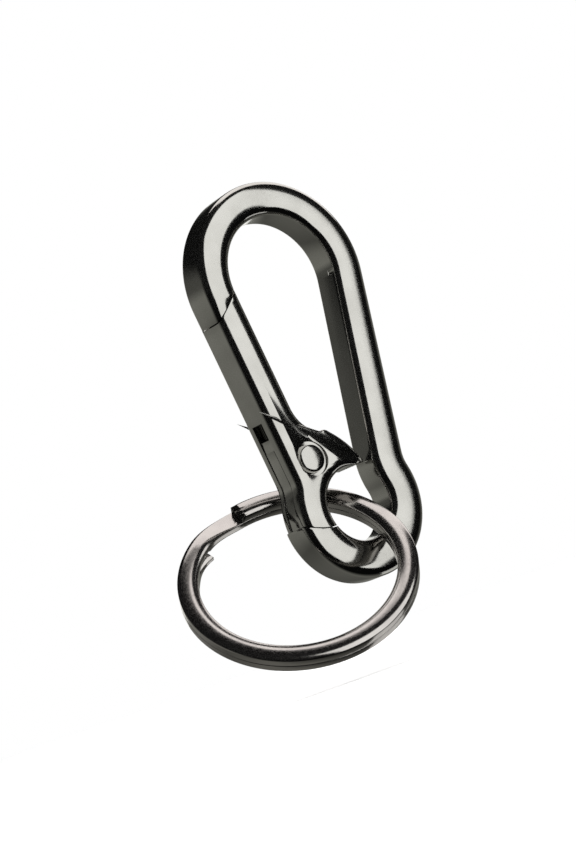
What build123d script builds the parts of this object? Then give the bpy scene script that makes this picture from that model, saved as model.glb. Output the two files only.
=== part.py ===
from build123d import *
import os
from math import cos, radians, sin, tan

os.makedirs("parts", exist_ok=True)

# Carabiner keyring: a cast hook frame, a cast spring gate on a rivet, and a two-turn split ring.
# Origin: centre of the hook's round arc at mid-thickness. +Z runs from the eye up to the hook,
# +X towards the spine, +Y from the front face to the back face. Millimetres.

# ---- Driving dimensions -------------------------------------------------------------------------
BODY_T = 5.4                    # thickness of both castings, front to back
EDGE_R = 1.0                    # rounding of the long edges
HOOK_R_OUT = 12.1               # hook arc, outside
HOOK_R_IN = 7.75                # hook arc, inside
GATE_LEAN = 7.35                # lean of the gate's straight side from vertical, degrees
SPINE_LEAN_OUT = 9.0            # lean of the spine's outer side, degrees
SPINE_LEAN_IN = 9.8             # lean of the spine's inner side, degrees
EYE_X, EYE_Z = -0.4, -29.8      # centre of the lower loop
EYE_R = 4.6                     # inside of the lower loop
LOOP_R = 9.4                    # outside of the lower loop
TAIL_R = 9.0                    # outside of the gate's tail round the same centre
WAIST_R_OUT = 6.0               # blend of the sides into the loop, outside
WAIST_R_IN = 6.0                # blend of the spine into the eye, inside
NECK_R_IN = 3.0                 # blend of the gate's neck into the eye, under the hub

PIVOT_X, PIVOT_Z = -5.6, -23.0  # gate pivot
HUB_BLEND_TOP = 6.6             # where the arm's inner side starts to widen into the hub, above the pivot
RIVET_R = 1.15                  # rivet shank
RIVET_CLEAR = 0.05              # radial clearance of the shank in the tongue
RIVET_HEAD_R = 1.7
RIVET_DOME = 0.18               # height of the head's crown
SINK_R = 2.2                    # counterbore for the rivet's heads
SINK_DEPTH = 0.55

SEAM_LEAN = 43.0                # slope of the nose's parting face, degrees
SEAM_X, SEAM_Z = -8.5, -1.2     # a point on the parting face
SEAM_GAP = 0.14                 # gap between the nose and the closed gate
TAIL_END_R = 8.6                # tail's end, an arc round the pivot

HUB_CORNERS = [                 # corners of the hub that are blended: X and Z from the pivot, radius
    (2.7, 2.95, 0.5),
    (3.9, 1.8, 2.0),
    (3.75, -2.2, 1.3),
    (1.22, -3.77, 1.5),
]
BEAK_TIP_X, BEAK_TIP_Z = 8.4, -1.9  # beak's tip, from the pivot
BEAK_TIP_T = 1.5                # thickness of the beak at its tip

TONGUE_T = 1.9                  # tongue thickness
SLOT_T = 2.1                    # slot between the gate's cheeks
TONGUE_HEAD_R = 2.6
TONGUE_INSET = 0.1              # the tongue's edges lie this far inside the gate's
TONGUE_SHOULDER = 0.3           # the tongue's inner side above the head, across the arm
HORN_ACROSS = -2.6              # inner side of the tongue's horn, across the arm
SLOT_WALL = 0.5                 # inner wall of the slot beside the tongue, across the arm
SLOT_WALL_TOP = -0.6            # inner wall of the slot at the window
SLOT_HEAD_R = 2.85
HORN_TOP = 4.2                  # top of the tongue's outer edge, above the pivot along the arm
WINDOW_TOP = 6.4                # top of the slot, above the pivot along the arm

ARM_OFFSET = 1.5                # the arm's centre line passes this far outside the pivot
CAM_REST = 2.95                 # cam height under the plunger, gate closed
CAM_RATE = 1.5                  # rise of the plunger for one radian of gate opening
CAM_SWEEP = 0.35                # gate travel that the cam serves, radians
CAM_CLEAR = 0.12                # gap between the cam and the plunger's tip

BORE_R = 1.05                   # spring bore in the gate's arm
BORE_END = 17.7
PLUNGER_R = 0.95
PLUNGER_TIP_R = 0.6
PLUNGER_SHOULDER = 6.7          # where the tip meets the guided barrel
PLUNGER_BACK = 9.6              # the barrel's back, where the spring bears
PLUNGER_PIP_R = 0.33
PLUNGER_PIP_TOP = 11.6
SPRING_WIRE_R = 0.17
SPRING_R = 0.74                 # mean radius of the coils
SPRING_TURNS = 10

RING_R_OUT = 14.5               # split ring, outside
RING_R_IN = 11.95               # split ring, inside
TURN_T = 1.14                   # height of the flat wire
TURN_GAP = 0.04                 # gap between the two turns
RING_X, RING_Y, RING_Z = -12.1, -0.75, -35.9
WIRE_EDGE_R = 0.25              # rounding of the flat wire's edges
JOG_START, JOG_END = 119.0, 150.0   # the jog between the turns, degrees round the ring
JOG_STEPS = 6
RING_NORMAL = (-0.311, -0.672, 0.672)
RING_ZERO = (0.805, -0.562, -0.189)     # direction from which the jog's angles are counted

# ---- Directions derived from them ---------------------------------------------------------------
HALF_T = BODY_T / 2
ARM_LEAN = radians(GATE_LEAN)
ALONG = (-sin(ARM_LEAN), cos(ARM_LEAN))      # up the gate's arm
ACROSS = (cos(ARM_LEAN), sin(ARM_LEAN))      # from the arm's outer side to its inner side
ring_plane = Plane(origin=(RING_X, RING_Y, RING_Z), x_dir=RING_ZERO, z_dir=RING_NORMAL)


def on_arm(across, along):
    """Point in the X-Z plane, measured from the pivot across and along the gate's arm."""
    x = PIVOT_X + across * ACROSS[0] + along * ALONG[0]
    z = PIVOT_Z + across * ACROSS[1] + along * ALONG[1]
    return (x, z)


def on_cam(opening):
    """Point of the tongue that lies under the plunger's axis when the gate is open by an angle."""
    height = CAM_REST + CAM_RATE * opening - CAM_CLEAR
    across = -ARM_OFFSET * cos(opening) + height * sin(opening)
    along = height * cos(opening) + ARM_OFFSET * sin(opening)
    return on_arm(across, along)


def arm_plane(along, upright=False):
    """Plane square to the gate arm's axis, or through it, its origin on the axis above the pivot."""
    x, z = on_arm(-ARM_OFFSET, along)
    up = (ALONG[0], 0, ALONG[1])
    side = (ACROSS[0], 0, ACROSS[1])
    if upright:
        return Plane(origin=(x, 0, z), x_dir=side, z_dir=(0, -1, 0))
    return Plane(origin=(x, 0, z), x_dir=side, z_dir=up)


def arm_axis():
    """Axis of the spring bore."""
    x, z = on_arm(-ARM_OFFSET, 0)
    return Axis((x, 0, z), (ALONG[0], 0, ALONG[1]))


def gourd(hook_r, spine_lean, loop_r, waist_r):
    """Outline of a round hook, two straight leaning sides and a smaller round loop."""
    gate_side, spine_side = radians(GATE_LEAN), radians(spine_lean)
    left = (-hook_r * cos(gate_side), -hook_r * sin(gate_side))
    right = (hook_r * cos(spine_side), -hook_r * sin(spine_side))
    left_foot = (left[0] + (left[1] - EYE_Z) * tan(gate_side), EYE_Z)
    right_foot = (right[0] - (right[1] - EYE_Z) * tan(spine_side), EYE_Z)
    with BuildSketch(mode=Mode.PRIVATE) as outline:
        with BuildLine():
            ThreePointArc(left, (0, hook_r), right)
            Polyline(right, right_foot, left_foot, left)
        make_face()
        with Locations((EYE_X, EYE_Z)):
            Circle(loop_r)
        waist = outline.vertices().filter_by_position(Axis.Y, EYE_Z, EYE_Z + loop_r)
        fillet(waist, waist_r)
    return outline.sketch


def gate_zone(gap):
    """Region of the body that the gate takes up, made larger all round by a gap."""
    lean = radians(SEAM_LEAN)
    seam_x = SEAM_X - gap * sin(lean)
    seam_z = SEAM_Z + gap * cos(lean)
    outer = (seam_x - 8 * cos(lean), seam_z - 8 * sin(lean))
    inner = (seam_x + 3 * cos(lean), seam_z + 3 * sin(lean))
    with BuildSketch(mode=Mode.PRIVATE) as zone:
        with BuildLine():
            Polyline(outer, inner, (3.2, inner[1]), (3.2, PIVOT_Z - 3), (outer[0], PIVOT_Z - 3), close=True)
        make_face()
        with Locations((PIVOT_X, PIVOT_Z)):
            Circle(TAIL_END_R + gap)
    return zone.sketch


def hub_outline():
    """Gate's hub, measured from the pivot: blend off the arm, small bump, and the arch over the neck."""
    arm_inside = -HOOK_R_IN / cos(ARM_LEAN) - (PIVOT_Z + HUB_BLEND_TOP) * tan(ARM_LEAN) - PIVOT_X
    with BuildSketch(mode=Mode.PRIVATE) as hub:
        with BuildLine():
            blend = TangentArc((arm_inside, HUB_BLEND_TOP), (2.7, 2.95), tangent=(-ALONG[0], -ALONG[1]))
            ThreePointArc(blend @ 1, (3.5, 2.6), (3.9, 1.8))
            ThreePointArc((3.9, 1.8), (4.3, 0), (3.75, -2.2))
            ThreePointArc((3.75, -2.2), (1.85, -3.05), (0.7, -5.0))
            Polyline((0.7, -5.0), (-1, -5.0), (-1, HUB_BLEND_TOP), blend @ 0)
        make_face()
    return hub.sketch


def beak_outline():
    """Gate's beak seen from the front, measured from the pivot."""
    with BuildSketch(mode=Mode.PRIVATE) as beak:
        with BuildLine():
            Line((3.5, 2.65), (BEAK_TIP_X - 0.15, BEAK_TIP_Z + 0.3))
            ThreePointArc((BEAK_TIP_X - 0.15, BEAK_TIP_Z + 0.3), (BEAK_TIP_X, BEAK_TIP_Z),
                          (BEAK_TIP_X - 0.2, BEAK_TIP_Z - 0.25))
            ThreePointArc((BEAK_TIP_X - 0.2, BEAK_TIP_Z - 0.25), (5.2, -1.95), (2.2, -2.75))
            Polyline((2.2, -2.75), (2.2, 2.4), (3.5, 2.65))
        make_face()
    return beak.sketch


def tongue_outline():
    """Tongue seen from the front: stem, head round the pivot, cam under the plunger, and outer horn."""
    cam_start = on_cam(0)
    cam_middle = on_cam(CAM_SWEEP / 2)
    cam_end = on_cam(CAM_SWEEP)
    pocket = on_arm(HORN_ACROSS, CAM_REST - CAM_CLEAR)
    shoulder_x, shoulder_z = on_arm(TONGUE_SHOULDER, 0)
    with BuildSketch(mode=Mode.PRIVATE) as tongue:
        with BuildLine():
            ThreePointArc(cam_start, cam_middle, cam_end)
            Polyline(cam_end, (shoulder_x, shoulder_z), (PIVOT_X + 1, PIVOT_Z - 9.6),
                     (PIVOT_X - 6, PIVOT_Z - 9.6), on_arm(-6, HORN_TOP), on_arm(HORN_ACROSS, HORN_TOP),
                     pocket, cam_start)
        make_face()
        with Locations((PIVOT_X, PIVOT_Z)):
            Circle(TONGUE_HEAD_R)
    return tongue.sketch


def wire_section(turn, height):
    """Draw the flat wire's section at an angle round the ring, at a height off its middle plane."""
    outward = ring_plane.x_dir * cos(radians(turn)) + ring_plane.y_dir * sin(radians(turn))
    station = Plane(origin=ring_plane.origin + ring_plane.z_dir * height, x_dir=outward,
                    z_dir=outward.cross(ring_plane.z_dir))
    with BuildSketch(station) as section:
        with Locations(((RING_R_OUT + RING_R_IN) / 2, 0)):
            RectangleRounded(RING_R_OUT - RING_R_IN, TURN_T, WIRE_EDGE_R)
    return section.sketch


# ---- Frame: hook, spine, loop and tongue in one casting -----------------------------------------
with BuildPart() as frame:
    with BuildSketch(Plane.XZ):
        add(gourd(HOOK_R_OUT, SPINE_LEAN_OUT, LOOP_R, WAIST_R_OUT))
        add(gourd(HOOK_R_IN, SPINE_LEAN_IN, EYE_R, WAIST_R_IN), mode=Mode.SUBTRACT)
    extrude(amount=HALF_T, both=True)
    fillet(frame.faces().filter_by(Axis.Y).edges(), EDGE_R)
    with BuildSketch(Plane.XZ):
        add(gate_zone(SEAM_GAP))
    extrude(amount=BODY_T, both=True, mode=Mode.SUBTRACT)
    # The tongue follows the body's outline and stays just inside its surfaces.
    with BuildSketch(Plane.XZ):
        add(tongue_outline())
        add(gourd(HOOK_R_OUT - TONGUE_INSET, SPINE_LEAN_OUT, TAIL_R - TONGUE_INSET, WAIST_R_OUT),
            mode=Mode.INTERSECT)
        add(gourd(HOOK_R_IN + TONGUE_INSET, SPINE_LEAN_IN, EYE_R + TONGUE_INSET, NECK_R_IN),
            mode=Mode.SUBTRACT)
        with Locations((PIVOT_X, PIVOT_Z)):
            Circle(TONGUE_HEAD_R)
    extrude(amount=TONGUE_T / 2, both=True)
    with BuildSketch(Plane.XZ):
        with Locations((PIVOT_X, PIVOT_Z)):
            Circle(RIVET_R + RIVET_CLEAR)
    extrude(amount=BODY_T, both=True, mode=Mode.SUBTRACT)
frame.part.label = "frame"
export_step(frame.part, "parts/frame.step")

# ---- Gate: arm, hub, beak and two tail cheeks in one casting ------------------------------------
with BuildPart() as beak:
    with BuildSketch(Plane.XZ):
        with Locations((PIVOT_X, PIVOT_Z)):
            add(beak_outline())
    extrude(amount=HALF_T, both=True)
    # Seen from above, the beak narrows from the hub's full thickness to its tip.
    with BuildSketch(Plane.XY.offset(PIVOT_Z)):
        with BuildLine():
            root_x, tip_x = PIVOT_X + 2, PIVOT_X + BEAK_TIP_X + 0.1
            Spline((root_x, HALF_T), (PIVOT_X + 4.6, HALF_T - 0.6), (tip_x, BEAK_TIP_T / 2))
            Line((tip_x, BEAK_TIP_T / 2), (tip_x, -BEAK_TIP_T / 2))
            Spline((tip_x, -BEAK_TIP_T / 2), (PIVOT_X + 4.6, 0.6 - HALF_T), (root_x, -HALF_T))
            Line((root_x, -HALF_T), (root_x, HALF_T))
        make_face()
    extrude(amount=8, both=True, mode=Mode.INTERSECT)

with BuildPart() as gate:
    with BuildSketch(Plane.XZ) as blank:
        add(gourd(HOOK_R_OUT, SPINE_LEAN_OUT, TAIL_R, WAIST_R_OUT))
        add(gourd(HOOK_R_IN, SPINE_LEAN_IN, EYE_R, NECK_R_IN), mode=Mode.SUBTRACT)
        with Locations((PIVOT_X, PIVOT_Z)):
            add(hub_outline())
        for corner_x, corner_z, radius in HUB_CORNERS:
            corner = (PIVOT_X + corner_x, PIVOT_Z + corner_z, 0)
            fillet(blank.vertices().sort_by_distance(corner)[0], radius)
    extrude(amount=HALF_T, both=True)
    fillet(gate.faces().filter_by(Axis.Y).edges(), EDGE_R)
    with BuildSketch(Plane.XZ):
        add(gate_zone(0))
    extrude(amount=BODY_T, both=True, mode=Mode.INTERSECT)
    add(beak.part)
    # Slot for the tongue: open on the outer side, and right through below the hub.
    with BuildSketch(Plane.XZ):
        with BuildLine():
            Polyline(on_arm(-7, WINDOW_TOP), on_arm(SLOT_WALL_TOP, WINDOW_TOP), on_arm(SLOT_WALL_TOP, HORN_TOP),
                     on_arm(SLOT_WALL, HORN_TOP - 0.1), on_arm(SLOT_WALL, 0), (PIVOT_X + SLOT_HEAD_R, PIVOT_Z),
                     (PIVOT_X + SLOT_HEAD_R, PIVOT_Z - 10), (PIVOT_X - 7, PIVOT_Z - 10), close=True)
        make_face()
        with Locations((PIVOT_X, PIVOT_Z)):
            Circle(SLOT_HEAD_R)
    extrude(amount=SLOT_T / 2, both=True, mode=Mode.SUBTRACT)
    # Rivet hole and its counterbores, front and back.
    with BuildSketch(Plane.XZ):
        with Locations((PIVOT_X, PIVOT_Z)):
            Circle(RIVET_R)
    extrude(amount=BODY_T, both=True, mode=Mode.SUBTRACT)
    for side in (Plane.XZ.offset(HALF_T - SINK_DEPTH), Plane.XZ.offset(SINK_DEPTH - HALF_T).reverse()):
        with BuildSketch(side):
            with Locations(side.to_local_coords(Vector(PIVOT_X, side.origin.Y, PIVOT_Z))):
                Circle(SINK_R)
        extrude(amount=SINK_DEPTH + 1, mode=Mode.SUBTRACT)
    # Spring bore up the arm from the slot.
    with BuildSketch(arm_plane(WINDOW_TOP - 0.5)):
        Circle(BORE_R)
    extrude(amount=BORE_END - WINDOW_TOP + 0.5, mode=Mode.SUBTRACT)
gate.part.label = "gate"
export_step(gate.part, "parts/gate.step")

# ---- Pivot rivet: shank with a low crowned head at each end -------------------------------------
with BuildPart() as pivot_rivet:
    with BuildSketch(Plane(origin=(PIVOT_X, 0, PIVOT_Z), x_dir=(1, 0, 0), z_dir=(0, 0, 1))):
        with BuildLine():
            head_seat = HALF_T - SINK_DEPTH
            Polyline((0, 0), (RIVET_R, 0), (RIVET_R, head_seat), (RIVET_HEAD_R, head_seat),
                     (RIVET_HEAD_R, HALF_T - RIVET_DOME))
            crown = Spline((RIVET_HEAD_R, HALF_T - RIVET_DOME), (RIVET_HEAD_R * 0.72, HALF_T + 0.02),
                           (0, HALF_T + RIVET_DOME), tangents=[(0, 1), (-1, 0)])
            Line(crown @ 1, (0, 0))
        make_face()
    revolve(axis=Axis((PIVOT_X, 0, PIVOT_Z), (0, 1, 0)))
    mirror(about=Plane.XZ)
pivot_rivet.part.label = "pivot_rivet"
export_step(pivot_rivet.part, "parts/pivot_rivet.step")

# ---- Spring plunger: slides in the gate's bore and bears on the tongue's cam --------------------
with BuildPart() as spring_plunger:
    with BuildSketch(arm_plane(0, upright=True)):
        with BuildLine():
            dome_top = CAM_REST + PLUNGER_TIP_R
            CenterArc((0, dome_top), PLUNGER_TIP_R, 270, 90)
            Polyline((PLUNGER_TIP_R, dome_top), (PLUNGER_TIP_R, PLUNGER_SHOULDER - 0.35),
                     (PLUNGER_R, PLUNGER_SHOULDER), (PLUNGER_R, PLUNGER_BACK),
                     (PLUNGER_PIP_R, PLUNGER_BACK), (PLUNGER_PIP_R, PLUNGER_PIP_TOP),
                     (0, PLUNGER_PIP_TOP), (0, CAM_REST))
        make_face()
    revolve(axis=arm_axis())
spring_plunger.part.label = "spring_plunger"
export_step(spring_plunger.part, "parts/spring_plunger.step")

# ---- Gate spring: round wire coil between the plunger and the end of the bore -------------------
spring_low = PLUNGER_BACK + SPRING_WIRE_R + 0.02
spring_high = BORE_END - SPRING_WIRE_R - 0.02
with BuildPart() as gate_spring:
    with BuildLine():
        coil_base = arm_plane(spring_low)
        coil = Helix(pitch=(spring_high - spring_low) / SPRING_TURNS, height=spring_high - spring_low,
                     radius=SPRING_R, center=coil_base.origin, direction=coil_base.z_dir)
    with BuildSketch(Plane(origin=coil @ 0, z_dir=coil % 0)):
        Circle(SPRING_WIRE_R)
    sweep(path=coil, is_frenet=True)
gate_spring.part.label = "gate_spring"
export_step(gate_spring.part, "parts/gate_spring.step")

# ---- Split ring: one flat wire wound twice, stepping from the upper turn to the lower -----------
layer = (TURN_T + TURN_GAP) / 2
with BuildPart() as split_ring:
    for height in (layer, -layer):
        revolve(wire_section(JOG_END, height), axis=Axis(ring_plane.origin, ring_plane.z_dir),
                revolution_arc=360 - (JOG_END - JOG_START))
    # The jog eases out of the lower turn and into the upper one.
    stations = []
    for step in range(JOG_STEPS + 1):
        share = step / JOG_STEPS
        rise = share * share * (3 - 2 * share)
        stations.append(wire_section(JOG_START + (JOG_END - JOG_START) * share, layer * (2 * rise - 1)))
    loft(stations)
split_ring.part.label = "split_ring"
export_step(split_ring.part, "parts/split_ring.step")
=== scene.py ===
from math import asin, atan2, cos, degrees, hypot, radians, sin, sqrt

import bpy
import bmesh
from mathutils import Matrix, Vector


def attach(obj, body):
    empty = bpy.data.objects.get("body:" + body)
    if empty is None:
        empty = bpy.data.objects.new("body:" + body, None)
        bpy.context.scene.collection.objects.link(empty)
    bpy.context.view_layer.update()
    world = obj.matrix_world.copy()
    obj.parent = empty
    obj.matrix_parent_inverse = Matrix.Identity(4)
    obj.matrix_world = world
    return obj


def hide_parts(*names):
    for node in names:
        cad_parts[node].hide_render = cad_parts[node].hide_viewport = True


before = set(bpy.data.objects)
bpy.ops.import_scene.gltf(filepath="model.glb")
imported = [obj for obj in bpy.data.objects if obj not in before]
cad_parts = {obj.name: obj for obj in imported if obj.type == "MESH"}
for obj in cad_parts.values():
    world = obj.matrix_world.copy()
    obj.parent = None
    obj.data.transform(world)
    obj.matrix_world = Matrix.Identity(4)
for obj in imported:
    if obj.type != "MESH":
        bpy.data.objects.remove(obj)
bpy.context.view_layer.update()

# ---- Frame -------------------------------------------------------------------------------------
# The hook, the spine, the lower loop and the tongue for the gate are one zinc die casting.
# Its long edges come rounded from the die. It is barrel polished and plated with black nickel.
THICKNESS = 5.4
HALF = THICKNESS / 2
BAR_WIDTH = 4.35
EDGE_WIDE, EDGE_DEEP, EDGE_STEPS = 1.7, 1.15, 10     # the rounding is wider than it is deep
HOOK_MID = 9.925
GATE_LEAN = 7.35
SPINE_LEAN = 9.4
EYE_X, EYE_Z = -0.56, -29.78
EYE_R = 4.65
LOOP_R = 9.4
SPINE_FOOT_WIDTH = 4.68
WAIST_BEND = 6.5                                     # bend of the bar's middle into the loop
PIVOT_X, PIVOT_Z = -5.6, -23.0
SEAM_X, SEAM_Z, SEAM_LEAN = -8.5, -1.2, 43.0
SEAM_GAP = 0.14
TAIL_END_R = 8.6
TURN_STEP = 2.5                                      # degrees between two rings of a bend

along = Vector((-sin(radians(GATE_LEAN)), 0, cos(radians(GATE_LEAN))))      # up the gate's arm
across = Vector((cos(radians(GATE_LEAN)), 0, sin(radians(GATE_LEAN))))      # into the opening
pivot = Vector((PIVOT_X, 0, PIVOT_Z))
eye = Vector((EYE_X, 0, EYE_Z))


def keep_selected(piece):
    """Makes a piece the only one selected, and the active one."""
    if bpy.context.mode != "OBJECT":
        bpy.ops.object.mode_set(mode="OBJECT")
    bpy.ops.object.select_all(action="DESELECT")
    piece.select_set(True)
    bpy.context.view_layer.objects.active = piece


def bar_section(name, width, height, wide, deep, steps):
    """Starts a bar as its own outline, flat on X and Y, left open in edit mode."""
    bpy.ops.object.select_all(action="DESELECT")
    bpy.ops.mesh.primitive_plane_add(size=1)
    piece = bpy.context.object
    piece.name = piece.data.name = name
    bpy.ops.object.mode_set(mode="EDIT")
    bpy.ops.mesh.select_all(action="SELECT")
    bpy.ops.mesh.delete(type="ONLY_FACE")
    bpy.ops.mesh.select_all(action="SELECT")
    bpy.ops.transform.resize(value=(width, height * wide / deep, 1))
    bpy.ops.mesh.bevel(offset=wide, segments=steps, affect="VERTICES", clamp_overlap=False)
    bpy.ops.transform.resize(value=(1, deep / wide, 1))
    return piece


def bend(centre, angle, step=TURN_STEP, axis=(0, 1, 0)):
    """Carries the selected outline round a centre. A positive angle turns from +X towards +Z."""
    steps = max(1, round(abs(angle) / step))
    bpy.ops.mesh.spin(steps=steps, angle=radians(angle), center=centre, axis=axis)


def run(way):
    """Carries the selected outline straight on."""
    bpy.ops.mesh.extrude_region_move(TRANSFORM_OT_translate={"value": tuple(way)})


def turn(angle, centre):
    """Turns what is selected about a line along Y. A positive angle turns from +X towards +Z."""
    bpy.ops.transform.rotate(value=radians(angle), orient_axis="Y", center_override=tuple(centre))


def close_ends():
    """Caps the open ends of a swept bar and turns its faces outwards."""
    bpy.ops.mesh.select_all(action="SELECT")
    bpy.ops.mesh.remove_doubles(threshold=0.0005)
    bpy.ops.mesh.select_all(action="DESELECT")
    bpy.ops.mesh.select_non_manifold(extend=False)
    bpy.ops.mesh.fill_holes(sides=0)
    bpy.ops.mesh.select_all(action="SELECT")
    bpy.ops.mesh.normals_make_consistent(inside=False)
    bpy.ops.object.mode_set(mode="OBJECT")


def pen_at(name, point):
    """Starts an outline on the X-Z plane at a point."""
    bpy.ops.object.select_all(action="DESELECT")
    bpy.ops.mesh.primitive_plane_add(size=1)
    piece = bpy.context.object
    piece.name = piece.data.name = name
    bpy.ops.object.mode_set(mode="EDIT")
    bpy.ops.mesh.select_all(action="SELECT")
    bpy.ops.mesh.merge(type="CENTER")
    bpy.ops.mesh.select_all(action="SELECT")
    bpy.ops.transform.translate(value=tuple(point))
    return piece


def pen():
    """Where the pen is: the one selected point."""
    work = bmesh.from_edit_mesh(bpy.context.object.data)
    return next(v.co.copy() for v in work.verts if v.select)


def line_to(point, parts=1):
    """Draws a straight line from the pen."""
    step = (Vector(point) - pen()) / parts
    for _ in range(parts):
        bpy.ops.mesh.extrude_vertices_move(TRANSFORM_OT_translate={"value": tuple(step)})


def arc_to(point, bulge, parts=8):
    """Draws an arc from the pen. A positive bulge lies to the right of the way the pen goes."""
    start, point = pen(), Vector(point)
    chord = point - start
    half_chord = chord.length / 2
    radius = (half_chord ** 2 + bulge ** 2) / (2 * abs(bulge))
    right = Vector((chord.z, 0, -chord.x)).normalized()
    side = 1 if bulge > 0 else -1
    centre = (start + point) / 2 - right * side * (radius - abs(bulge))
    bpy.ops.mesh.spin(steps=parts, angle=side * 2 * asin(min(1, half_chord / radius)),
                      center=tuple(centre), axis=(0, 1, 0))


def fill_and_thicken(thickness):
    """Closes the outline, fills it and gives it its thickness, half to each side."""
    bpy.ops.mesh.select_all(action="SELECT")
    bpy.ops.mesh.remove_doubles(threshold=0.001)
    bpy.ops.mesh.edge_face_add()
    bpy.ops.transform.translate(value=(0, -thickness / 2, 0))
    bpy.ops.mesh.extrude_region_move(TRANSFORM_OT_translate={"value": (0, thickness, 0)})
    bpy.ops.mesh.select_all(action="SELECT")
    bpy.ops.mesh.normals_make_consistent(inside=False)
    bpy.ops.object.mode_set(mode="OBJECT")


def cut(piece, tool, how="DIFFERENCE"):
    """Cuts a piece with a tool, or joins the tool to it, and takes the tool away."""
    keep_selected(piece)
    work = piece.modifiers.new("cut", "BOOLEAN")
    work.operation, work.object, work.solver = how, tool, "MANIFOLD"
    bpy.ops.object.modifier_apply(modifier=work.name)
    bpy.data.objects.remove(tool)


def break_edges(piece, width, steps=2, limit=38):
    """Breaks the sharp edges that cutting left."""
    keep_selected(piece)
    bpy.ops.object.mode_set(mode="EDIT")
    bpy.ops.mesh.select_all(action="SELECT")
    bpy.ops.mesh.remove_doubles(threshold=0.002)
    bpy.ops.mesh.dissolve_degenerate(threshold=0.002)
    bpy.ops.object.mode_set(mode="OBJECT")
    work = piece.modifiers.new("edges", "BEVEL")
    work.width, work.segments = width, steps
    work.limit_method, work.angle_limit = "ANGLE", radians(limit)
    work.use_clamp_overlap = True
    bpy.ops.object.modifier_apply(modifier=work.name)


def to_size(piece, body, slot, *nodes, smooth=32):
    """Brings a piece from millimetres to metres, smooths it and hangs it on its body."""
    keep_selected(piece)
    piece.scale = (0.001, 0.001, 0.001)
    bpy.ops.object.transform_apply(location=True, rotation=True, scale=True)
    bpy.ops.object.shade_smooth_by_angle(angle=radians(smooth))
    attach(piece, body)
    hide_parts(*nodes)


def gate_zone(gap):
    """Tool of the gate's own room in the body: the slanted seam on top, an arc round the pivot below."""
    lean = radians(SEAM_LEAN)
    seam = Vector((SEAM_X - gap * sin(lean), 0, SEAM_Z + gap * cos(lean)))
    slope = Vector((cos(lean), 0, sin(lean)))
    radius = TAIL_END_R + gap
    zone = pen_at("zone", pivot + Vector((-radius, 0, 0)))
    bend(pivot, 180, 3)
    line_to(Vector((PIVOT_X + radius, 0, seam.z + 3 * slope.z)))
    line_to(seam + slope * 3)
    line_to(seam - slope * 8)
    line_to(Vector((seam.x - 8 * slope.x, 0, PIVOT_Z)))
    line_to(pivot + Vector((-radius, 0, 0)))
    fill_and_thicken(3 * THICKNESS)
    return zone


def round_tool(centre, radius, low, high, sides=72):
    """Cylinder along Y between two depths."""
    bpy.ops.object.select_all(action="DESELECT")
    bpy.ops.mesh.primitive_cylinder_add(
        vertices=sides, radius=radius, depth=high - low, rotation=(radians(90), 0, 0),
        location=(centre[0], (low + high) / 2, centre[2]))
    bpy.ops.object.transform_apply(location=True, rotation=True, scale=True)
    return bpy.context.object


# The bar starts at the nose, goes over the hook, down the spine and round the loop.
frame_piece = bar_section("frame_casting", BAR_WIDTH, THICKNESS, EDGE_WIDE, EDGE_DEEP, EDGE_STEPS)
bpy.ops.transform.translate(value=(-HOOK_MID, 0, -6))
turn(GATE_LEAN, (0, 0, 0))
run(along * 6)
bend((0, 0, 0), -(180 + GATE_LEAN + SPINE_LEAN))
spine_down = Vector((-sin(radians(SPINE_LEAN)), 0, -cos(radians(SPINE_LEAN))))
spine_out = Vector((cos(radians(SPINE_LEAN)), 0, -sin(radians(SPINE_LEAN))))
spine_top = spine_out * HOOK_MID
loop_mid = (EYE_R + LOOP_R) / 2
aside = (spine_top - eye).dot(spine_out) + WAIST_BEND
above = sqrt((loop_mid + WAIST_BEND) ** 2 - aside ** 2)
waist_turn = degrees(atan2(above, aside))
spine_run = (eye - spine_top).dot(spine_down) - above
run(spine_down * spine_run)
widen = SPINE_FOOT_WIDTH / BAR_WIDTH
bpy.ops.transform.resize(value=(widen, 1, widen), center_override=tuple(spine_top + spine_down * spine_run))
bend(eye + spine_out * aside - spine_down * above, waist_turn, 2)
bend(eye, -(200 - SPINE_LEAN + waist_turn))
close_ends()

cut(frame_piece, gate_zone(SEAM_GAP))

# The tongue goes on up from the loop's shoulder, between the gate's cheeks, to the pivot.
TONGUE_T = 1.9
TAIL_R = 9.1
tail_mid = (TAIL_R + EYE_R) / 2
tongue_width = TAIL_R - EYE_R - 0.2
arm_side = -across
tail_aside = HOOK_MID - eye.dot(arm_side)
tail_bend = 4.6 + BAR_WIDTH / 2
tail_above = sqrt((tail_mid + tail_bend) ** 2 - (tail_aside + tail_bend) ** 2)
tail_turn = degrees(atan2(tail_above, tail_aside + tail_bend))
tongue = bar_section("tongue", tongue_width, TONGUE_T, 0.15, 0.15, 3)
bpy.ops.transform.translate(value=(EYE_X - tail_mid, 0, EYE_Z))
turn(26, eye)
bend(eye, -(26 - GATE_LEAN + tail_turn))
bend(eye + arm_side * (tail_aside + tail_bend) + along * tail_above, tail_turn)
pivot_height = (pivot - eye).dot(along)
CAM_HEIGHT = 2.8
run(along * (pivot_height - tail_above + CAM_HEIGHT))
close_ends()
HORN_TOP = 4.2
bpy.ops.mesh.primitive_cube_add(size=1)
horn = bpy.context.object
horn.scale = (0.9, TONGUE_T - 0.02, HORN_TOP)
horn.rotation_euler = (0, radians(-GATE_LEAN), 0)
horn.location = pivot + across * (-3.05) + along * (HORN_TOP / 2)
keep_selected(horn)
bpy.ops.object.transform_apply(location=True, rotation=True, scale=True)
cut(tongue, horn, "UNION")
cut(tongue, round_tool(pivot, 2.6, -TONGUE_T / 2 + 0.01, TONGUE_T / 2 - 0.01), "UNION")
cut(frame_piece, tongue, "UNION")
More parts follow.
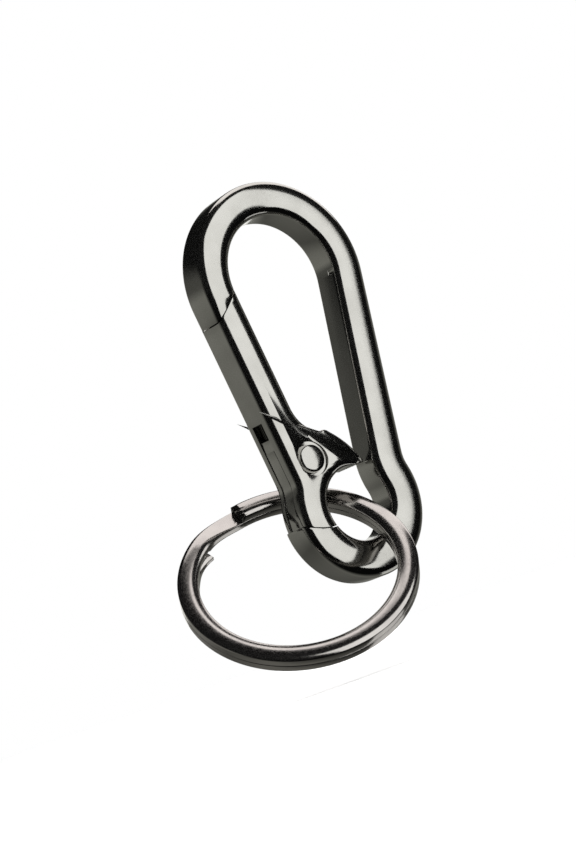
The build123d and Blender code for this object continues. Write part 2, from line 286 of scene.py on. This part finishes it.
cut(frame_piece, round_tool(pivot, 1.2, -3, 3, 48))
# A small witness mark of the die crosses the inner wall where the spine begins.
cut(frame_piece, round_tool((7.42, 0, -1.0), 0.42, -1.9, -0.7, 24))
break_edges(frame_piece, 0.16)
to_size(frame_piece, "frame", "cast_body", "frame")

# The finish: a bright, dark-toned plate that shows the polished casting's faint waves and hairlines.
POLISH_ROUGHNESS = 0.11


def plated(name, colour, dark, wave_size, wave_depth, hairline=0.0, roughness=POLISH_ROUGHNESS):
    """Polished plating: tone clouds, soft waves of the casting, fine hairlines and duller specks."""
    finish = bpy.data.materials.new(name)
    finish.use_nodes = True
    tree = finish.node_tree
    shader = tree.nodes["Principled BSDF"]
    shader.inputs["Metallic"].default_value = 1.0
    shader.inputs["Specular IOR Level"].default_value = 0.5
    place = tree.nodes.new("ShaderNodeTexCoord")
    clouds = tree.nodes.new("ShaderNodeTexNoise")
    clouds.inputs["Scale"].default_value = 260
    clouds.inputs["Detail"].default_value = 4
    tone = tree.nodes.new("ShaderNodeMix")
    tone.data_type = "RGBA"
    tone.inputs[6].default_value = (*dark, 1)
    tone.inputs[7].default_value = (*colour, 1)
    spread = tree.nodes.new("ShaderNodeMapRange")
    spread.inputs["From Min"].default_value = 0.35
    spread.inputs["From Max"].default_value = 0.6
    specks = tree.nodes.new("ShaderNodeTexNoise")
    specks.inputs["Scale"].default_value = 2600
    specks.inputs["Detail"].default_value = 3
    dull = tree.nodes.new("ShaderNodeMapRange")
    dull.inputs["From Min"].default_value = 0.45
    dull.inputs["From Max"].default_value = 0.8
    dull.inputs["To Min"].default_value = roughness
    dull.inputs["To Max"].default_value = roughness + 0.06
    waves = tree.nodes.new("ShaderNodeTexNoise")
    waves.inputs["Scale"].default_value = wave_size
    waves.inputs["Detail"].default_value = 1.5
    swell = tree.nodes.new("ShaderNodeBump")
    swell.inputs["Distance"].default_value = wave_depth
    swell.inputs["Strength"].default_value = 1.0
    scratch_place = tree.nodes.new("ShaderNodeMapping")
    scratch_place.inputs["Scale"].default_value = (9000, 9000, 500)
    scratches = tree.nodes.new("ShaderNodeTexNoise")
    scratches.inputs["Scale"].default_value = 1.0
    scratches.inputs["Detail"].default_value = 2
    fine = tree.nodes.new("ShaderNodeBump")
    fine.inputs["Distance"].default_value = 0.0000012
    fine.inputs["Strength"].default_value = hairline
    wire = tree.links.new
    wire(place.outputs["Object"], clouds.inputs["Vector"])
    wire(place.outputs["Object"], specks.inputs["Vector"])
    wire(place.outputs["Object"], waves.inputs["Vector"])
    wire(place.outputs["Object"], scratch_place.inputs["Vector"])
    wire(scratch_place.outputs["Vector"], scratches.inputs["Vector"])
    wire(clouds.outputs["Fac"], spread.inputs["Value"])
    wire(spread.outputs["Result"], tone.inputs["Factor"])
    wire(tone.outputs[2], shader.inputs["Base Color"])
    wire(specks.outputs["Fac"], dull.inputs["Value"])
    wire(dull.outputs["Result"], shader.inputs["Roughness"])
    wire(waves.outputs["Fac"], swell.inputs["Height"])
    wire(scratches.outputs["Fac"], fine.inputs["Height"])
    wire(swell.outputs["Normal"], fine.inputs["Normal"])
    wire(fine.outputs["Normal"], shader.inputs["Normal"])
    return finish


black_nickel = plated("black_nickel", (0.50, 0.495, 0.475), (0.45, 0.445, 0.425), 170, 0.00001, 0.12)
frame_piece.data.materials.clear()
frame_piece.data.materials.append(black_nickel)

# ---- Gate --------------------------------------------------------------------------------------
# The gate is a second zinc casting: an arm with the spring's bore, a hub on the rivet, a beak that
# closes the eye, and two cheeks that straddle the tongue. It is cast, polished and plated alike.
OUTER_ACROSS = -(HOOK_MID + BAR_WIDTH / 2) + pivot.dot(arm_side)
INNER_ACROSS = -(HOOK_MID - BAR_WIDTH / 2) + pivot.dot(arm_side)
SLOT_T = 2.1


def on_arm(over, up):
    """Point measured from the pivot, across and along the arm."""
    return pivot + across * over + along * up


def from_pivot(x, z):
    """Point measured from the pivot, square to the body."""
    return pivot + Vector((x, 0, z))


outer_aside = tail_aside + BAR_WIDTH / 2 + 4.6
outer_above = sqrt((TAIL_R + 4.6) ** 2 - outer_aside ** 2)
outer_turn = degrees(atan2(outer_above, outer_aside))
gate_piece = pen_at("gate_casting", on_arm(OUTER_ACROSS, 24))
line_to(on_arm(OUTER_ACROSS, outer_above - pivot_height), 6)
bend(eye + arm_side * outer_aside + along * outer_above, -outer_turn, 2.5)
bend(eye, outer_turn + 22, 2.5)
line_to(eye + (pen() - eye).normalized() * 4.72)
bend(eye, -(202 + GATE_LEAN - 75), 3)
line_to(from_pivot(7.1, -2.15), 3)
line_to(from_pivot(8.05, -2.1), 3)
arc_to(from_pivot(8.0, -1.5), 0.27, 5)
arc_to(from_pivot(3.72, 2.63), 0.22, 14)
arc_to(from_pivot(2.75, 3.0), 0.13, 5)
arc_to(from_pivot(2.45, 3.02), -0.03, 3)
blend_start = on_arm(INNER_ACROSS, 6.6)
chord = from_pivot(2.45, 3.02) - blend_start
blend_r = chord.length_squared / (2 * chord.dot(across))
blend_centre = blend_start + across * blend_r
to_end = pen() - blend_centre
blend_turn = degrees(atan2(to_end.z, to_end.x)) % 360 - (180 + GATE_LEAN)
bend(blend_centre, -blend_turn, 4)
line_to(on_arm(INNER_ACROSS, 24), 6)
line_to(on_arm(OUTER_ACROSS, 24))
fill_and_thicken(THICKNESS * EDGE_WIDE / EDGE_DEEP)


def rounding(middle):
    """Share of the full rounding at a place on the rim: less on the beak, least on top and at its tip."""
    x, z = middle.x - PIVOT_X, middle.z - PIVOT_Z
    if x < 1.6 or z < -4:
        return 1.0
    share = min(1.0, max(0.09, 0.62 - 0.155 * (x - 4.2)))
    if z > 0.2 - 0.92 * (x - 4.6):
        share = min(share, 0.2)
        return share + (1 - share) * max(0.0, (2.5 - x) / 0.9) ** 2
    return share + (1 - share) * max(0.0, min(1.0, (4.0 - x) / 2.4))


weights = gate_piece.data.attributes.new("bevel_weight_edge", "FLOAT", "EDGE")
for edge in gate_piece.data.edges:
    ends = [gate_piece.data.vertices[i].co for i in edge.vertices]
    on_rim = abs(ends[0].y - ends[1].y) < 0.01
    weights.data[edge.index].value = rounding((ends[0] + ends[1]) / 2) if on_rim else 0.0
keep_selected(gate_piece)
rims = gate_piece.modifiers.new("rims", "BEVEL")
rims.width, rims.segments = EDGE_WIDE, EDGE_STEPS
rims.limit_method = "WEIGHT"
rims.use_clamp_overlap = False
bpy.ops.object.modifier_apply(modifier=rims.name)
gate_piece.data.attributes.remove(gate_piece.data.attributes["bevel_weight_edge"])
BEAK_ROOT, BEAK_LENGTH = 3.0, 5.2
for vertex in gate_piece.data.vertices:
    vertex.co.y *= EDGE_DEEP / EDGE_WIDE
    reach = (vertex.co.x - PIVOT_X - BEAK_ROOT) / BEAK_LENGTH
    if reach > 0 and vertex.co.z < PIVOT_Z + 3.5:
        vertex.co.y *= 1 - (0.75 * reach + 0.8 * reach ** 3) / HALF
keep_selected(gate_piece)
bpy.ops.object.mode_set(mode="EDIT")
bpy.ops.mesh.select_all(action="SELECT")
bpy.ops.mesh.remove_doubles(threshold=0.002)
bpy.ops.mesh.normals_make_consistent(inside=False)
bpy.ops.object.mode_set(mode="OBJECT")

cut(gate_piece, gate_zone(0), "INTERSECT")
slot_tool = pen_at("slot", on_arm(-7, 6.4))
line_to(from_pivot(-7, -10))
line_to(from_pivot(2.85, -10))
line_to(from_pivot(2.85, 0))
line_to(on_arm(0.5, 2.4))
line_to(on_arm(0.5, HORN_TOP - 0.1))
line_to(on_arm(-0.6, HORN_TOP))
line_to(on_arm(-0.6, 6.4))
line_to(on_arm(-7, 6.4))
fill_and_thicken(SLOT_T)
cut(gate_piece, slot_tool)
SINK_R, SINK_DEEP, RIVET_HOLE_R = 2.2, 0.55, 1.15                       # counterbore and rivet hole
cut(gate_piece, round_tool(pivot, SINK_R, -4, -HALF + SINK_DEEP))
cut(gate_piece, round_tool(pivot, SINK_R, HALF - SINK_DEEP, 4))
cut(gate_piece, round_tool(pivot, RIVET_HOLE_R, -3, 3, 48))
bpy.ops.object.select_all(action="DESELECT")
BORE_R, BORE_LENGTH, BORE_OVER, BORE_FOOT = 1.05, 11.8, -1.5, 5.9      # the spring's bore in the arm
bpy.ops.mesh.primitive_cylinder_add(
    vertices=40, radius=BORE_R, depth=BORE_LENGTH, rotation=(0, radians(-GATE_LEAN), 0),
    location=on_arm(BORE_OVER, BORE_FOOT + BORE_LENGTH / 2))
bpy.ops.object.transform_apply(location=True, rotation=True, scale=True)
cut(gate_piece, bpy.context.object)
break_edges(gate_piece, 0.13)
to_size(gate_piece, "gate", "cast_gate", "gate")
gate_piece.data.materials.clear()
gate_piece.data.materials.append(black_nickel)

# ---- Pivot rivet -------------------------------------------------------------------------------
# A turned steel rivet joins the gate to the tongue. Each end is set to a low crowned head that sits
# in a counterbore, level with the casting's face.
RIVET_R, HEAD_R, CROWN = 1.15, 1.72, 0.16
rivet_piece = pen_at("rivet_turned", pivot)
seat = HALF - SINK_DEEP
line_to(pivot + Vector((RIVET_R, 0, 0)))
line_to(pivot + Vector((RIVET_R, -seat, 0)))
line_to(pivot + Vector((HEAD_R, -seat, 0)))
line_to(pivot + Vector((HEAD_R, -HALF + 0.2, 0)))
line_to(pivot + Vector((HEAD_R - 0.05, -HALF + 0.06, 0)))
line_to(pivot + Vector((HEAD_R - 0.18, -HALF - 0.03, 0)))
line_to(pivot + Vector((HEAD_R - 0.45, -HALF - 0.09, 0)))
line_to(pivot + Vector((HEAD_R * 0.45, -HALF - 0.145, 0)))
line_to(pivot + Vector((0, -HALF - CROWN, 0)))
bpy.ops.mesh.select_all(action="SELECT")
bend(pivot, 360, 5)
bpy.ops.mesh.select_all(action="SELECT")
bpy.ops.mesh.duplicate()
bpy.ops.transform.resize(value=(1, -1, 1), center_override=tuple(pivot))
bpy.ops.mesh.select_all(action="SELECT")
bpy.ops.mesh.remove_doubles(threshold=0.001)
bpy.ops.mesh.normals_make_consistent(inside=False)
bpy.ops.object.mode_set(mode="OBJECT")
to_size(rivet_piece, "gate", "rivet", "pivot_rivet")
rivet_plate = plated("rivet_plate", (0.52, 0.51, 0.49), (0.46, 0.455, 0.44), 400, 0.00001, 0.3, 0.12)
rivet_piece.data.materials.clear()
rivet_piece.data.materials.append(rivet_plate)

# ---- Split ring --------------------------------------------------------------------------------
# Flat spring-steel wire is coiled twice round, with a short jog where it steps from the lower turn
# to the upper one. It is tumbled, so its corners are soft, and plated in a slightly warmer tone.
RING_MID, WIRE_WIDTH, WIRE_HEIGHT, TURN_GAP = 13.225, 2.55, 1.14, 0.04
RING_CENTRE = Vector((-12.1, -0.75, -35.9))
ring_up = Vector((-0.311, -0.672, 0.672)).normalized()
ring_zero = Vector((0.805, -0.562, -0.189))
ring_zero = (ring_zero - ring_up * ring_zero.dot(ring_up)).normalized()
ring_quarter = ring_up.cross(ring_zero)
JOG_START, JOG_END, JOG_STEPS = 119.0, 150.0, 12
layer = (WIRE_HEIGHT + TURN_GAP) / 2

# It is wound flat round the origin first: the section stands on X, and the coil goes round Z.
CROWN_WIDE, CROWN_DEEP = 1.15, 0.42
ring_piece = bar_section("ring_wire", WIRE_WIDTH, WIRE_HEIGHT, CROWN_WIDE, CROWN_DEEP, 9)
bpy.ops.transform.rotate(value=radians(90), orient_axis="X", center_override=(0, 0, 0))
bpy.ops.transform.translate(value=(RING_MID, 0, 0))


def wind(angle, step=3.0):
    """Carries the wire's section round the ring, counter-clockwise seen from above."""
    steps = max(1, round(abs(angle) / step))
    bpy.ops.mesh.spin(steps=steps, angle=radians(-angle), center=(0, 0, 0), axis=(0, 0, 1))


TIP_STEPS, TIP_INWARD = 8, 0.6                      # the lower end springs inwards a little
wound = 0.0
bpy.ops.transform.translate(value=(-TIP_INWARD, 0, 0))
for step in range(TIP_STEPS):
    wind(2.0)
    wound += 2.0
    ease = ((1 - step / TIP_STEPS) ** 2 - (1 - (step + 1) / TIP_STEPS) ** 2) * TIP_INWARD
    bpy.ops.transform.translate(value=(ease * cos(radians(wound)), ease * sin(radians(wound)), 0))
wind(360 - (JOG_END - JOG_START) - wound)
for step in range(JOG_STEPS):
    wind((JOG_END - JOG_START) / JOG_STEPS, 10)
    low, high = step / JOG_STEPS, (step + 1) / JOG_STEPS
    climb = high * high * (3 - 2 * high) - low * low * (3 - 2 * low)
    bpy.ops.transform.translate(value=(0, 0, climb * 2 * layer))
wind(360 - (JOG_END - JOG_START))
close_ends()
# The faces that lie on each other stay flat with sharp corners: only the outsides were tumbled.
for vertex in ring_piece.data.vertices:
    spot = vertex.co
    angle = degrees(atan2(spot.y, spot.x)) % 360
    share = (angle - (360 - JOG_END + JOG_START)) / (JOG_END - JOG_START)
    raised = share * share * (3 - 2 * share) if 0 < share < 1 else float(spot.z > layer)
    reach = hypot(spot.x, spot.y) - RING_MID
    rise = spot.z - raised * 2 * layer
    inner = raised if rise < 0 else 1 - raised
    over = (abs(reach) - (WIRE_WIDTH / 2 - CROWN_WIDE)) / CROWN_WIDE
    up = (abs(rise) - (WIRE_HEIGHT / 2 - CROWN_DEEP)) / CROWN_DEEP
    if over <= 0 or up <= 0 or TIP_STEPS * 2 > angle:
        continue
    power = 1 - 0.9 * inner
    new_reach = (WIRE_WIDTH / 2 - CROWN_WIDE + CROWN_WIDE * min(1, over) ** power) * (1 if reach > 0 else -1)
    new_rise = (WIRE_HEIGHT / 2 - CROWN_DEEP + CROWN_DEEP * min(1, up) ** power) * (1 if rise > 0 else -1)
    grow = (RING_MID + new_reach) / (RING_MID + reach)
    vertex.co = (spot.x * grow, spot.y * grow, raised * 2 * layer + new_rise)
first = Matrix.Rotation(radians(JOG_END), 4, "Z") @ Matrix.Translation((0, 0, -layer))
seat_in = Matrix((ring_zero, ring_quarter, ring_up)).transposed().to_4x4()
ring_piece.data.transform(Matrix.Translation(RING_CENTRE) @ seat_in @ first)
break_edges(ring_piece, 0.14, 3, 50)
to_size(ring_piece, "ring", "ring_wire", "split_ring", smooth=40)
warm_nickel = plated("warm_nickel", (0.52, 0.50, 0.485), (0.455, 0.435, 0.425), 200, 0.00001, 0.15, 0.13)
ring_piece.data.materials.clear()
ring_piece.data.materials.append(warm_nickel)

# ---- Spring and plunger ------------------------------------------------------------------------
# Inside the arm a plunger of turned steel is pushed on to the tongue by a coil of drawn spring
# wire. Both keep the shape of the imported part, and show only through the slot.
spring_steel = plated("spring_steel", (0.60, 0.60, 0.59), (0.5, 0.5, 0.49), 2400, 0.000002, 1.0, 0.2)
turned_steel = plated("turned_steel", (0.48, 0.475, 0.47), (0.4, 0.4, 0.39), 1500, 0.000002, 1.0, 0.2)
for node, finish in (("gate_spring", spring_steel), ("spring_plunger", turned_steel)):
    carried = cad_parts[node]
    carried.data.materials.clear()
    carried.data.materials.append(finish)

# ---- Floor, light and camera -------------------------------------------------------------------
# A plain pale floor lies just under the ring. Four soft boxes light the metal, and it sees grey tones
# round them, brightest low down behind.
FLOOR_Z = -0.0497
bpy.ops.object.select_all(action="DESELECT")
bpy.ops.mesh.primitive_plane_add(size=8, location=(0, 0, FLOOR_Z))
floor = bpy.context.object
floor.name = "floor"
floor.visible_glossy = False
pale = bpy.data.materials.new("pale_floor")
pale.use_nodes = True
pale_shader = pale.node_tree.nodes["Principled BSDF"]
pale_shader.inputs["Base Color"].default_value = (1.0, 1.0, 1.0, 1)
pale_shader.inputs["Roughness"].default_value = 1.0
pale_shader.inputs["Specular IOR Level"].default_value = 0.0
floor.data.materials.append(pale)

world = bpy.data.worlds.new("studio")
bpy.context.scene.world = world
world.use_nodes = True
nodes, join = world.node_tree.nodes, world.node_tree.links.new
nodes.clear()
out = nodes.new("ShaderNodeOutputWorld")
pick = nodes.new("ShaderNodeMixShader")
path = nodes.new("ShaderNodeLightPath")
white = nodes.new("ShaderNodeBackground")
white.inputs["Color"].default_value = (1, 1, 1, 1)
white.inputs["Strength"].default_value = 1.0
dim = nodes.new("ShaderNodeBackground")
dim.inputs["Strength"].default_value = 1.0
where = nodes.new("ShaderNodeTexCoord")
split = nodes.new("ShaderNodeSeparateXYZ")
rise = nodes.new("ShaderNodeMapRange")
rise.inputs["From Min"].default_value = -1
rise.inputs["From Max"].default_value = 1
tones = nodes.new("ShaderNodeValToRGB")
ramp = tones.color_ramp
ramp.elements[0].position, ramp.elements[0].color = 0.0, (0.20, 0.20, 0.18, 1)
ramp.elements[1].position, ramp.elements[1].color = 0.74, (0.004, 0.004, 0.004, 1)
for position, shade in ((0.15, 0.17), (0.3, 0.10), (0.42, 0.22), (0.55, 0.27), (0.61, 0.10), (0.67, 0.09)):
    stop = ramp.elements.new(position)
    stop.color = (shade, shade, shade * 0.9, 1)
back = nodes.new("ShaderNodeMapRange")               # the grey lies behind and below, not in front
back.inputs["From Min"].default_value = -0.25
back.inputs["From Max"].default_value = 0.35
shade_mix = nodes.new("ShaderNodeMix")
shade_mix.data_type = "RGBA"
shade_mix.inputs[6].default_value = (0.004, 0.004, 0.004, 1)
join(where.outputs["Generated"], split.inputs["Vector"])
join(split.outputs["Z"], rise.inputs["Value"])
join(rise.outputs["Result"], tones.inputs["Fac"])
join(split.outputs["Y"], back.inputs["Value"])
join(back.outputs["Result"], shade_mix.inputs["Factor"])
join(tones.outputs["Color"], shade_mix.inputs[7])
join(shade_mix.outputs[2], dim.inputs["Color"])
join(path.outputs["Is Glossy Ray"], pick.inputs["Fac"])
join(white.outputs["Background"], pick.inputs[1])
join(dim.outputs["Background"], pick.inputs[2])
join(pick.outputs["Shader"], out.inputs["Surface"])

AIM = Vector((-0.006, 0, -0.02))


def soft_box(name, way, distance, width, height, radiance, colour=(1, 1, 1), roll=0.0):
    """Panel light seen by the metal from one direction, unseen by the camera."""
    way = Vector(way).normalized()
    lamp = bpy.data.lights.new(name, "AREA")
    lamp.shape = "RECTANGLE"
    lamp.size, lamp.size_y = width, height
    lamp.energy = radiance * width * height * 3.14159
    lamp.color = colour
    holder = bpy.data.objects.new(name, lamp)
    bpy.context.scene.collection.objects.link(holder)
    facing = way.to_track_quat("Z", "Y").to_matrix().to_4x4()
    holder.matrix_world = (Matrix.Translation(AIM + way * distance) @ facing
                           @ Matrix.Rotation(radians(roll), 4, "Z"))
    holder.visible_camera = False
    return holder


soft_box("front_box", (0.206, -0.969, 0.20), 0.7, 0.76, 1.20, 1.4, (1, 1, 0.975))
soft_box("top_box", (0.56, 0.22, 0.80), 0.7, 0.50, 0.90, 1.4, (1, 0.955, 0.93))
soft_box("back_box", (0.42, 0.90, 0.16), 0.8, 0.42, 0.30, 0.9, (1, 1, 0.97))
soft_box("low_box", (0.72, 0.02, -0.69), 0.7, 0.35, 0.35, 0.8, (1, 1, 0.97))

lens = bpy.data.cameras.new("view")
lens.lens, lens.sensor_width = 100, 36
lens.clip_start, lens.clip_end = 0.01, 20
camera = bpy.data.objects.new("view", lens)
bpy.context.scene.collection.objects.link(camera)
right = Vector((0.7799, -0.5310, -0.3325))
upward = Vector((0.2226, -0.2634, 0.9387))
backward = right.cross(upward)
camera.matrix_world = Matrix.Translation((-0.1770, -0.2357, -0.0444)) @ Matrix(
    (right, upward, backward)).transposed().to_4x4()
bpy.context.scene.camera = camera
bpy.context.scene.view_settings.view_transform = "Standard"
